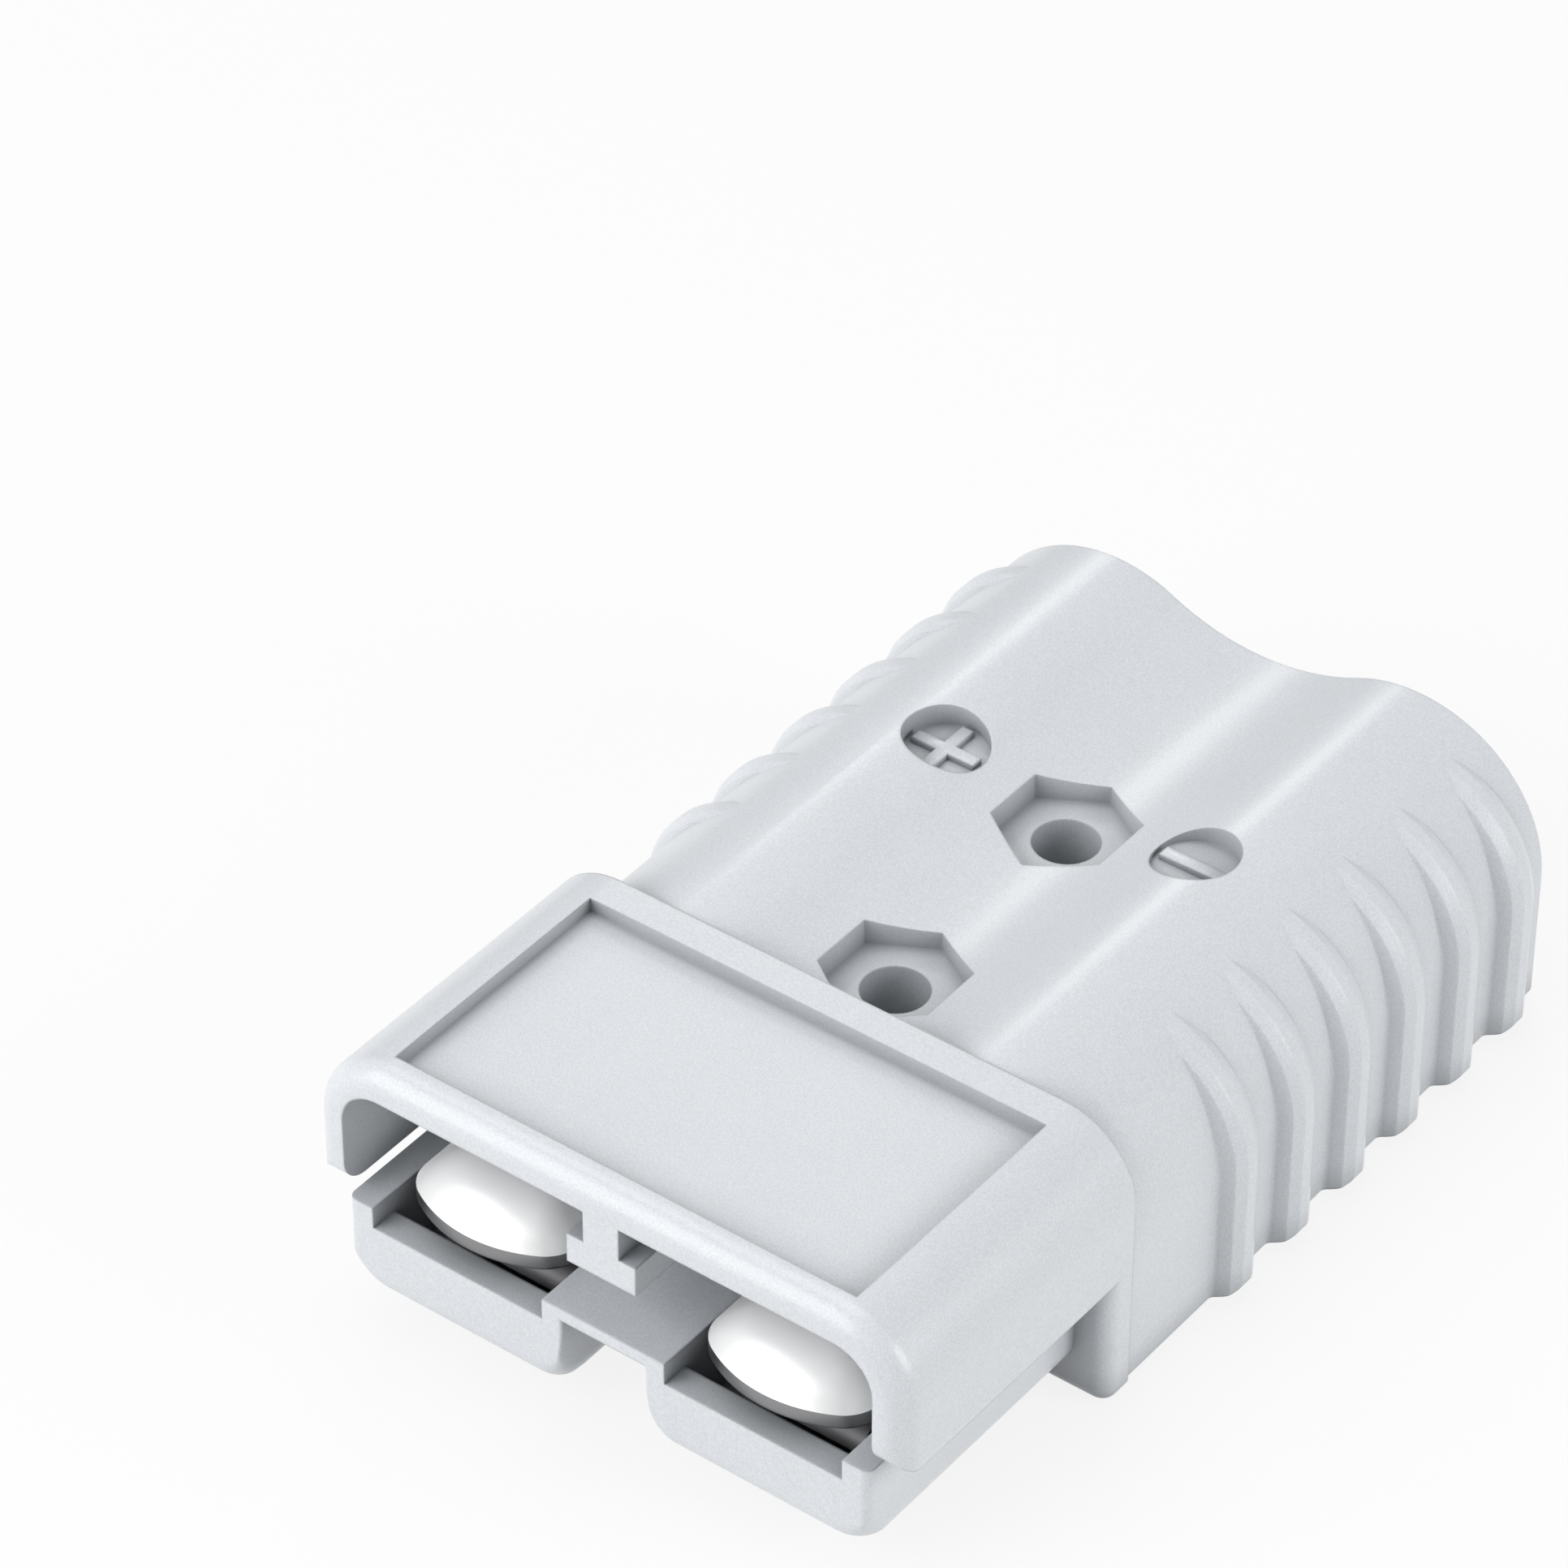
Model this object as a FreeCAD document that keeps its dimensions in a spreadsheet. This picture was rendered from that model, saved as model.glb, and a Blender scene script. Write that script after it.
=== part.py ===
import FreeCAD, Part
import math
import os

import Sketcher

# Genderless two-pole power connector, in millimetres.
# X is the width, Y the length with the mating end towards -Y, Z is up.
# The flat side lies on z = 0 and the origin is the middle of that side.
# The positive pole is at -X.

SIZES = {
    # Whole housing
    "length": 108.0,
    "height": 32.0,
    "hood_crown": 1.0,
    # Double-barrel rear body
    "lobe_radius": 16.0,
    "lobe_drop": 0.2,
    "valley_drop": 4.4,
    "foot_round": 1.5,
    "rear_bevel": 0.35,
    # Grip ribs
    "rib_count": 6.0,
    "rib_width": 7.5,
    "rib_pitch": 9.68,
    "rib_rise": 2.05,
    "rib_crest_radius": 3.2,
    "rib_rear_margin": 2.2,
    "rib_bend_radius": 14.9,
    "rib_foot_rise": 1.0,
    "rib_foot_round": 1.2,
    "rib_sink": 0.12,
    "rib_root": 1.4,
    # Hood and collar
    "hood_length": 36.1,
    "hood_shoulder_radius": 8.6,
    "hood_inner_radius": 4.5,
    "hood_wall": 3.6,
    "hood_roof": 3.5,
    "hood_front_round": 2.6,
    "collar_thickness": 3.7,
    "collar_corner_round": 1.8,
    "wall_foot_rise": 0.05,
    "wall_corner_round": 3.0,
    # Label recess in the hood's top, left bare
    "recess_side_margin": 7.8,
    "recess_depth": 1.6,
    "recess_rear_margin": 3.8,
    "recess_front_margin": 3.2,
    # T-rail under the hood's roof
    "rail_web_width": 4.16,
    "rail_web_height": 3.75,
    "rail_flange_width": 8.08,
    "rail_flange_thickness": 3.39,
    "rail_root": 0.9,
    # Two-lobed tongue
    "tongue_side_clearance": 0.25,
    "tongue_roof_clearance": 1.1,
    "tongue_drop": 0.9,
    "tongue_web": 1.41,
    "tongue_side_round": 3.1,
    "tongue_channel_round": 2.5,
    "tongue_front_round": 2.8,
    "nose_outer_round": 1.0,
    "nose_inner_round": 0.4,
    "tongue_floor": 2.0,
    "tongue_outer_wall": 3.05,
    "tongue_inner_wall": 2.35,
    "channel_clearance": 0.86,
    "lip_length": 3.1,
    "lip_drop": 3.35,
    # Cable openings and contact chambers
    "opening_floor": 2.6,
    "opening_radius": 14.1,
    "opening_shift": 0.6,
    "opening_drop": 0.1,
    "opening_side_wall": 3.25,
    "opening_depth": 26.0,
    "chamber_clearance": 0.3,
    "chamber_end_gap": 0.5,
    # Contacts
    "barrel_radius": 7.8,
    "barrel_bore_radius": 6.4,
    "barrel_bore_depth": 32.0,
    "barrel_length": 38.0,
    "barrel_setback": 6.5,
    "sight_hole_radius": 1.6,
    "sight_hole_inset": 3.0,
    "neck_length": 12.0,
    "neck_start_width": 13.0,
    "neck_start_thickness": 7.0,
    "blade_width": 18.8,
    "blade_thickness": 2.8,
    "blade_side_clearance": 0.85,
    "contact_overlap": 1.3,
    "hook_length": 13.5,
    "hook_ramp": 4.0,
    "tip_setback": 1.4,
    "tip_corner_radius": 5.0,
    "tip_bow": 0.7,
    "nose_radius": 2.4,
    # Contact springs
    "spring_width": 12.0,
    "spring_thickness": 0.8,
    "spring_span": 25.0,
    "spring_foot": 2.5,
    "spring_setback": 1.2,
    "spring_clearance": 0.2,
    # Nut recesses and mounting holes on the centre line
    "nut_flats": 13.1,
    "nut_recess_depth": 2.05,
    "bolt_hole_radius": 3.5,
    "bolt_spacing": 28.2,
    "front_bolt_setback": 9.2,
    # Round recesses that hold the polarity marks
    "mark_shift": 2.5,
    "mark_setback": 0.3,
    "mark_radius": 4.5,
    "mark_depth": 2.5,
    # Coring of the flat side
    "slot_radius": 2.09,
    "slot_depth": 9.0,
    "slot_gap": 9.2,
    "rear_slot_margin": 8.44,
    "front_slot_length": 9.44,
    "keyhole_radius": 4.2,
    "keyhole_neck_radius": 3.2,
    "keyhole_reach": 5.4,
    "keyhole_depth": 8.0,
    "notch_width": 3.62,
    "notch_shift": 1.24,
    "notch_spacing": 14.5,
    "notch_length": 10.29,
    "notch_rear_ramp": 3.03,
    "notch_front_ramp": 4.36,
    "notch_lead": 6.13,
    "notch_depth": 2.2,
    "panel_width": 17.1,
    "panel_shift": 0.65,
    "panel_length": 21.9,
    "panel_setback": 2.5,
    "panel_round": 2.0,
    "panel_depth": 0.6,
    "disc_place": 17.95,
    "disc_radius": 5.17,
    "disc_depth": 0.8,
}

SHEET = "sizes"
EAST, NORTH, WEST, SOUTH = (1, 0), (0, 1), (-1, 0), (0, -1)
LEFT_TURN, RIGHT_TURN = 1, -1
OVERCUT = 1.0
QUARTER_TURN = 90
CREST_FLATS = 5
SMALL_VOLUME = 1e-3
NEAR = 1e-4

doc = FreeCAD.newDocument("power_connector")


class Size:
    """A length that knows its value and the expression on the sheet that gives it."""

    def __init__(self, value, text):
        self.value = value
        self.text = text

    def join(self, other, sign, value):
        return Size(value, "(" + self.text + " " + sign + " " + other.text + ")")

    def __add__(self, other):
        other = as_size(other)
        return self.join(other, "+", self.value + other.value)

    def __sub__(self, other):
        other = as_size(other)
        return self.join(other, "-", self.value - other.value)

    def __mul__(self, other):
        other = as_size(other)
        return self.join(other, "*", self.value * other.value)

    def __truediv__(self, other):
        other = as_size(other)
        return self.join(other, "/", self.value / other.value)

    def __radd__(self, other):
        return as_size(other) + self

    def __rsub__(self, other):
        return as_size(other) - self

    def __rmul__(self, other):
        return as_size(other) * self

    def __neg__(self):
        return Size(-self.value, "(-1 * " + self.text + ")")


def as_size(value):
    """Give a plain number the form of a Size."""
    return value if isinstance(value, Size) else Size(float(value), "(" + repr(value) + ")")


def root(square):
    """The square root of a Size."""
    return Size(math.sqrt(square.value), "sqrt(" + square.text + ")")


class Sheet:
    """The spreadsheet with the driving sizes, read by attribute as Size objects."""

    def __init__(self, sizes):
        self.table = doc.addObject("Spreadsheet::Sheet", SHEET)
        for row, (name, value) in enumerate(sizes.items(), start=1):
            self.table.set("A%d" % row, name)
            self.table.set("B%d" % row, repr(value))
            self.table.setAlias("B%d" % row, name)
        doc.recompute()

    def __getattr__(self, name):
        return Size(float(self.table.get(name)), SHEET + "." + name)


s = Sheet(SIZES)


def bind(thing, prop, value):
    """Tie a property to the sheet; a plain number stays a plain number."""
    thing.setExpression(prop, as_size(value).text)


class Circle:
    """A round outline."""

    def __init__(self, x, y, radius):
        self.x, self.y, self.radius = as_size(x), as_size(y), as_size(radius)

    def add_to(self, sketch):
        centre = FreeCAD.Vector(self.x.value, self.y.value, 0)
        circle = Part.Circle(centre, FreeCAD.Vector(0, 0, 1), self.radius.value)
        index = sketch.addGeometry(circle, False)
        lock(sketch, Sketcher.Constraint("Radius", index, self.radius.value), "r%d" % index, self.radius)
        lock_point(sketch, index, 3, self.x, self.y)


class Outline:
    """A closed outline of straight and round edges, given point by point."""

    def __init__(self, x, y):
        self.points = [(as_size(x), as_size(y))]
        self.bends = []

    def line(self, x, y):
        self.points.append((as_size(x), as_size(y)))
        self.bends.append(None)
        return self

    def arc(self, x, y, radius, turn):
        self.points.append((as_size(x), as_size(y)))
        self.bends.append((as_size(radius), turn))
        return self

    def corner(self, x, y, radius, came, goes):
        """Run to a square corner and round it."""
        turn = LEFT_TURN if came[0] * goes[1] - came[1] * goes[0] > 0 else RIGHT_TURN
        self.line(moved(x, radius, -came[0]), moved(y, radius, -came[1]))
        return self.arc(moved(x, radius, goes[0]), moved(y, radius, goes[1]), radius, turn)

    def close(self):
        """Run straight back to the first point."""
        self.bends.append(None)
        return self

    def end_at_start(self):
        """Drop the last point, which repeats the first one."""
        self.points.pop()
        return self

    def whole(self):
        """Add the mirror image of a right half whose two ends lie on the middle line."""
        points = self.points[1:-1]
        for x, y in reversed(points):
            self.points.append((-x, y))
        self.bends = self.bends + self.bends[::-1]
        return self

    def flipped(self):
        """The same outline on the other side of the middle line."""
        twin = Outline(0, 0)
        twin.points = [(-x, y) for x, y in self.points]
        twin.bends = [bend if bend is None else (bend[0], -bend[1]) for bend in self.bends]
        return twin

    def add_to(self, sketch):
        count = len(self.points)
        first = sketch.GeometryCount
        ends = []
        for place, bend in enumerate(self.bends):
            start = flat_point(self.points[place])
            stop = flat_point(self.points[(place + 1) % count])
            if bend is None:
                sketch.addGeometry(Part.LineSegment(start, stop), False)
                ends.append((1, 2))
            else:
                radius, turn = bend
                sketch.addGeometry(round_edge(start, stop, radius.value, turn), False)
                ends.append((1, 2) if turn == LEFT_TURN else (2, 1))
        for place in range(count):
            after = (place + 1) % count
            joint = (first + place, ends[place][1], first + after, ends[after][0])
            sketch.addConstraint(Sketcher.Constraint("Coincident", *joint))
        for place, bend in enumerate(self.bends):
            index = first + place
            lock_point(sketch, index, ends[place][0], *self.points[place])
            if bend is not None:
                rule = Sketcher.Constraint("Radius", index, bend[0].value)
                lock(sketch, rule, "r%d" % index, bend[0])


def moved(value, amount, direction):
    """A coordinate moved by an amount along +1 or -1, or left where it is."""
    if direction == 0:
        return value
    return value + amount if direction > 0 else value - amount


def flat_point(point):
    return FreeCAD.Vector(point[0].value, point[1].value, 0)


def round_edge(start, stop, radius, turn):
    """The arc of under half a circle from start to stop, turning left or right."""
    chord = stop - start
    rise = math.sqrt(max(radius * radius - chord.Length ** 2 / 4, 0))
    aside = FreeCAD.Vector(-chord.y, chord.x, 0).normalize()
    centre = (start + stop) * 0.5 + aside * (rise * turn)
    circle = Part.Circle(centre, FreeCAD.Vector(0, 0, 1), radius)
    low, high = (start, stop) if turn == LEFT_TURN else (stop, start)
    low_angle = math.atan2(low.y - centre.y, low.x - centre.x)
    high_angle = math.atan2(high.y - centre.y, high.x - centre.x)
    if high_angle < low_angle:
        high_angle += 2 * math.pi
    return Part.ArcOfCircle(circle, low_angle, high_angle)


def lock(sketch, rule, name, value):
    """Add a measured constraint, name it and tie it to the sheet."""
    index = sketch.addConstraint(rule)
    sketch.renameConstraint(index, name)
    bind(sketch, "Constraints." + name, value)


def lock_point(sketch, index, end, x, y):
    """Hold one point of an edge at its place from the sketch's origin."""
    for kind, value in (("DistanceX", x), ("DistanceY", y)):
        rule = Sketcher.Constraint(kind, -1, 1, index, end, value.value)
        lock(sketch, rule, kind[-1] + str(index), value)


def draw(body, name, plane, outlines, lift=0, along=0):
    """Draw outlines on one of the body's own planes, moved out by lift and sideways by along."""
    sketch = body.newObject("Sketcher::SketchObject", name)
    support = [face for face in body.Origin.OriginFeatures if face.Role == plane][0]
    sketch.AttachmentSupport = (support, "")
    sketch.MapMode = "FlatFace"
    bind(sketch, "AttachmentOffset.Base.z", lift)
    bind(sketch, "AttachmentOffset.Base.x", along)
    for outline in outlines:
        outline.add_to(sketch)
    return sketch


def feature_of(body, kind, name, sketch, length, backwards):
    feature = body.newObject("PartDesign::" + kind, name)
    feature.Profile = sketch
    bind(feature, "Length", length)
    feature.Reversed = backwards
    doc.recompute()
    return feature


def pad(body, name, sketch, length, backwards=False):
    """Add material from a sketch."""
    return feature_of(body, "Pad", name, sketch, length, backwards)


def pocket(body, name, sketch, depth, backwards=False):
    """Cut material from a sketch, and check that something was cut."""
    before = body.Shape.Volume
    feature = feature_of(body, "Pocket", name, sketch, depth, backwards)
    if before - body.Shape.Volume < SMALL_VOLUME:
        raise RuntimeError(name + " cuts nothing")
    return feature


def soften(body, kind, name, size, is_wanted):
    """Round or bevel the edges of the body's last feature that a test picks."""
    base = body.Tip
    names = ["Edge%d" % (i + 1) for i, edge in enumerate(base.Shape.Edges) if is_wanted(edge)]
    feature = body.newObject("PartDesign::" + kind, name)
    feature.Base = (base, names)
    bind(feature, "Radius" if kind == "Fillet" else "Size", size)
    doc.recompute()


def new_body(label):
    body = doc.addObject("PartDesign::Body", label)
    body.Label = label
    doc.recompute()
    return body


def lies_on(edge, axis, value):
    """Whether the whole edge lies in the plane where one coordinate has a value."""
    low = getattr(edge.BoundBox, axis + "Min")
    high = getattr(edge.BoundBox, axis + "Max")
    return abs(low - value) < NEAR and abs(high - value) < NEAR


# Places along the connector are measured from its rear face towards the mating end.
half_length = s.length / 2
hood_start = s.length - s.hood_length
collar_front = hood_start + s.collar_thickness
front_bolt = hood_start - s.front_bolt_setback
rear_bolt = front_bolt - s.bolt_spacing

# Heights follow the plane on which two equal connectors meet.
mating_plane = (s.height - s.hood_crown) / 2
ceiling = s.height - s.hood_roof
wall_foot = mating_plane + s.wall_foot_rise
tongue_bottom = mating_plane * 2 - ceiling + s.tongue_roof_clearance
tongue_top = mating_plane - s.tongue_drop
web_floor = tongue_top - s.tongue_web
cavity_floor = tongue_bottom + s.tongue_floor
lip_height = mating_plane - s.lip_drop
lobe_top = s.height - s.lobe_drop
lobe_z = lobe_top - s.lobe_radius
valley = s.height - s.valley_drop
nut_floor = valley - s.nut_recess_depth
mark_floor = lobe_top - s.mark_depth
opening_z = mating_plane - s.opening_drop
blade_top = mating_plane - s.contact_overlap
blade_bottom = blade_top - s.blade_thickness
pad_top = mating_plane + s.contact_overlap
pad_bottom = pad_top - s.blade_thickness

# Widths grow outwards from the rail: channel, block walls, contact, hood and body.
channel_half = s.rail_flange_width / 2 + s.channel_clearance
cavity_half = s.blade_width / 2 + s.blade_side_clearance
contact_x = channel_half + s.tongue_inner_wall + cavity_half
tongue_outer = contact_x + cavity_half + s.tongue_outer_wall
hood_inner = tongue_outer + s.tongue_side_clearance
hood_half_width = hood_inner + s.hood_wall
opening_x = contact_x - s.opening_shift
body_half_width = opening_x + s.opening_radius + s.opening_side_wall
lobe_x = body_half_width - s.lobe_radius
rib_crest_x = body_half_width + s.rib_rise

# The contact's places, from its rear end to its tip.
cavity_end = s.length - s.lip_length
barrel_end = s.barrel_setback + s.barrel_length
neck_end = barrel_end + s.neck_length
chamber_end = neck_end + s.chamber_end_gap
tip_place = s.length - s.tip_setback


def from_rear(place):
    """The Y coordinate of a place that is measured from the rear face."""
    return half_length - place


def cross_section(body, name, outlines, place):
    """A sketch across the connector, from which a positive length runs to the mating end."""
    return draw(body, name, "XZ_Plane", outlines, lift=place - half_length)


def plan(body, name, outlines, height=0):
    """A sketch seen from above at a height."""
    return draw(body, name, "XY_Plane", outlines, lift=height)


def side_view(body, name, outlines, x):
    """A sketch seen from the +X side, in Y and Z."""
    return draw(body, name, "YZ_Plane", outlines, lift=x)


def body_outline():
    """Two round lobes with a shallow valley between them, on a flat base."""
    rise = valley - lobe_z
    squares = lobe_x * lobe_x + rise * rise - s.lobe_radius * s.lobe_radius
    valley_radius = squares / (2 * (s.lobe_radius - rise))
    reach = s.lobe_radius + valley_radius
    touch_x = lobe_x - s.lobe_radius * lobe_x / reach
    touch_z = lobe_z + s.lobe_radius * (rise + valley_radius) / reach
    half = Outline(0, 0)
    half.corner(body_half_width, as_size(0), s.foot_round, EAST, NORTH)
    half.line(body_half_width, lobe_z)
    half.arc(lobe_x, lobe_top, s.lobe_radius, LEFT_TURN)
    half.arc(touch_x, touch_z, s.lobe_radius, LEFT_TURN)
    half.arc(0, valley, valley_radius, RIGHT_TURN)
    return half.whole()


def collar_outline():
    """The full cross-section of the collar, flat on top and round at its shoulders."""
    half = Outline(0, 0)
    half.corner(hood_half_width, as_size(0), s.foot_round, EAST, NORTH)
    half.corner(hood_half_width, s.height, s.hood_shoulder_radius, NORTH, WEST)
    half.line(0, s.height)
    return half.whole()


def hood_outline():
    """The roof and the two side walls, which end above the mating plane."""
    half = Outline(0, ceiling)
    half.corner(hood_inner, ceiling, s.hood_inner_radius, EAST, SOUTH)
    half.line(hood_inner, wall_foot)
    half.line(hood_half_width, wall_foot)
    half.corner(hood_half_width, s.height, s.hood_shoulder_radius, NORTH, WEST)
    half.line(0, s.height)
    return half.whole()


def rail_outline():
    """The T-rail that guides the other connector's channel."""
    flange_top = ceiling - s.rail_web_height
    half = Outline(0, flange_top - s.rail_flange_thickness)
    half.line(s.rail_flange_width / 2, flange_top - s.rail_flange_thickness)
    half.line(s.rail_flange_width / 2, flange_top)
    half.line(s.rail_web_width / 2, flange_top)
    half.line(s.rail_web_width / 2, ceiling + s.rail_root)
    half.line(0, ceiling + s.rail_root)
    return half.whole()


def tongue_outline():
    """Two blocks joined by a thin web over the channel for the other connector's rail."""
    half = Outline(0, web_floor)
    half.line(channel_half, web_floor)
    half.corner(channel_half, tongue_bottom, s.tongue_channel_round, SOUTH, EAST)
    half.corner(tongue_outer, tongue_bottom, s.tongue_side_round, EAST, NORTH)
    half.line(tongue_outer, tongue_top)
    half.line(0, tongue_top)
    return half.whole()


def corner_cut(x, y, radius, hand):
    """What a round takes off a corner that points to -Y, with its material beyond x on the side of hand."""
    turn = RIGHT_TURN if hand > 0 else LEFT_TURN
    cut = Outline(x + hand * radius, y)
    cut.arc(x, y + radius, radius, turn)
    cut.line(x - hand * OVERCUT, y + radius)
    cut.line(x - hand * OVERCUT, y - OVERCUT)
    cut.line(x + hand * radius, y - OVERCUT)
    return cut.close()


def round_wall_corners(body):
    """Round the lower front corner of both hood walls."""
    half = hood_half_width + OVERCUT
    front_y = from_rear(s.length)
    radius = s.wall_corner_round
    cut = Outline(front_y + radius, wall_foot)
    cut.arc(front_y, wall_foot + radius, radius, RIGHT_TURN)
    cut.line(front_y - OVERCUT, wall_foot + radius)
    cut.line(front_y - OVERCUT, wall_foot - OVERCUT)
    cut.line(front_y + radius, wall_foot - OVERCUT)
    cut.close()
    pocket(body, "wall_corners", side_view(body, "wall_corner_profile", [cut], -half), half * 2, True)


def round_tongue_front(body):
    """Round the front end of the tongue: its lower edge, its sides and the mouth of the channel."""
    half = tongue_outer + OVERCUT
    front_y = from_rear(s.length)
    radius = s.tongue_front_round
    cut = Outline(front_y + radius, tongue_bottom)
    cut.arc(front_y, tongue_bottom + radius, radius, RIGHT_TURN)
    cut.line(front_y - OVERCUT, tongue_bottom + radius)
    cut.line(front_y - OVERCUT, tongue_bottom - OVERCUT)
    cut.line(front_y + radius, tongue_bottom - OVERCUT)
    cut.close()
    pocket(body, "tongue_lower_edge", side_view(body, "tongue_edge_profile", [cut], -half), half * 2, True)
    below = tongue_bottom - OVERCUT
    for name, x, rounding, hand, top in (
        ("nose_sides", tongue_outer, s.nose_outer_round, -1, tongue_top),
        ("channel_mouth", channel_half, s.nose_inner_round, 1, web_floor),
    ):
        sketch = plan(body, name + "_plan", both(corner_cut(x, front_y, rounding, hand)), below)
        pocket(body, name, sketch, top - below, backwards=True)


def rib_outline(axis_x):
    """The plan of the rearmost rib: a crest of small flats round an arc, on hollow feet.

    Its X is measured from axis_x, and its foot starts a little under the side's surface.
    """
    side = body_half_width - axis_x
    half_width = s.rib_width / 2
    slope = (s.rib_rise + s.rib_sink) / half_width
    spread = half_width * (1 + slope * slope) / (2 * slope)
    foot_radius = spread - s.rib_crest_radius
    crest = side + s.rib_rise
    foot = side - s.rib_sink
    middle = from_rear(s.rib_rear_margin + half_width)
    outline = Outline(side - s.rib_root, middle - half_width)
    outline.line(foot, middle - half_width)
    for flat in range(CREST_FLATS + 1):
        lean = slope * (2 * flat / CREST_FLATS - 1)
        along = s.rib_crest_radius * 2 * lean / (1 + lean * lean)
        corner = (crest - along * lean, middle + along)
        if flat == 0:
            outline.arc(*corner, foot_radius, RIGHT_TURN)
        else:
            outline.line(*corner)
    outline.arc(foot, middle + half_width, foot_radius, RIGHT_TURN)
    outline.line(side - s.rib_root, middle + half_width)
    return outline.close()


def add_ribs(body):
    """Twelve ribs that climb the sides, bend over the lobes and fade into them."""
    bend_x = rib_crest_x - s.rib_bend_radius
    upright = rib_outline(as_size(0))
    uprights = plan(body, "rib_plan", both(upright), s.rib_foot_rise)
    first = [pad(body, "rib_uprights", uprights, lobe_z - s.rib_foot_rise)]
    for side, place in (("left", -bend_x), ("right", bend_x)):
        section = rib_outline(bend_x)
        if side == "left":
            section = section.flipped()
        sketch = draw(body, "rib_section_" + side, "XY_Plane", [section], lift=lobe_z, along=place)
        bend = body.newObject("PartDesign::Revolution", "rib_bend_" + side)
        bend.Profile = sketch
        bend.ReferenceAxis = (sketch, ["V_Axis"])
        bend.Angle = QUARTER_TURN
        bend.Reversed = side == "right"
        doc.recompute()
        first.append(bend)
    pattern = body.newObject("PartDesign::LinearPattern", "rib_row")
    pattern.Originals = first
    pattern.Direction = (uprights, ["V_Axis"])
    pattern.Reversed = True
    bind(pattern, "Length", s.rib_pitch * (s.rib_count - 1))
    bind(pattern, "Occurrences", s.rib_count)
    body.Tip = pattern
    doc.recompute()


def round_rib_feet(body):
    """Round the lower ends of the ribs, which stop a little above the flat side."""
    foot_x = rib_crest_x - s.rib_foot_round
    round_top = s.rib_foot_rise + s.rib_foot_round
    cut = Outline(rib_crest_x + OVERCUT, -OVERCUT)
    cut.line(rib_crest_x + OVERCUT, round_top)
    cut.line(rib_crest_x, round_top)
    cut.arc(foot_x, s.rib_foot_rise, s.rib_foot_round, RIGHT_TURN)
    cut.line(foot_x, -OVERCUT)
    cut.close()
    sketch = cross_section(body, "rib_foot_profile", [cut, cut.flipped()], -OVERCUT)
    pocket(body, "rib_feet", sketch, hood_start + OVERCUT, backwards=True)


def opening_outline(centre_x, floor, half_width, axis_height):
    """A D-shaped opening: a flat floor, upright sides and a round top."""
    outline = Outline(centre_x - half_width, floor)
    outline.line(centre_x + half_width, floor)
    outline.line(centre_x + half_width, axis_height)
    outline.arc(centre_x, axis_height + half_width, half_width, LEFT_TURN)
    outline.arc(centre_x - half_width, axis_height, half_width, LEFT_TURN)
    return outline.close()


def box_outline(low_x, low_y, high_x, high_y):
    """A plain rectangle."""
    outline = Outline(low_x, low_y)
    outline.line(high_x, low_y)
    outline.line(high_x, high_y)
    outline.line(low_x, high_y)
    return outline.close()


def both(outline):
    """An outline and its twin on the other pole."""
    return [outline, outline.flipped()]


def cut_cable_openings(body):
    """The D-shaped rear openings, cut after the ribs so that no rib's root stays in them."""
    opening = opening_outline(opening_x, s.opening_floor, s.opening_radius, opening_z)
    sketch = cross_section(body, "opening_profile", both(opening), -OVERCUT)
    pocket(body, "cable_openings", sketch, s.opening_depth + OVERCUT, backwards=True)


def cut_contact_spaces(body):
    """Chamber, blade passage and tongue cavity of each pole."""
    chamber_floor = mating_plane - s.barrel_radius - s.chamber_clearance
    chamber = opening_outline(contact_x, chamber_floor, cavity_half, mating_plane)
    sketch = cross_section(body, "chamber_profile", both(chamber), s.opening_depth - OVERCUT)
    pocket(body, "chambers", sketch, chamber_end - s.opening_depth + OVERCUT, backwards=True)

    low_x = contact_x - cavity_half
    high_x = contact_x + cavity_half
    low_z = blade_bottom - s.chamber_clearance
    high_z = pad_top + s.chamber_clearance
    passage = box_outline(low_x, low_z, high_x, high_z)
    sketch = cross_section(body, "passage_profile", both(passage), chamber_end - OVERCUT)
    pocket(body, "blade_passages", sketch, collar_front - chamber_end + OVERCUT, backwards=True)

    cavity = box_outline(low_x, cavity_floor, high_x, high_z)
    sketch = cross_section(body, "cavity_profile", both(cavity), collar_front)
    pocket(body, "tongue_cavities", sketch, cavity_end - collar_front, backwards=True)

    lip = box_outline(low_x, lip_height, high_x, high_z)
    sketch = cross_section(body, "lip_profile", both(lip), cavity_end)
    pocket(body, "tongue_lips", sketch, s.lip_length + OVERCUT, backwards=True)


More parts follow.
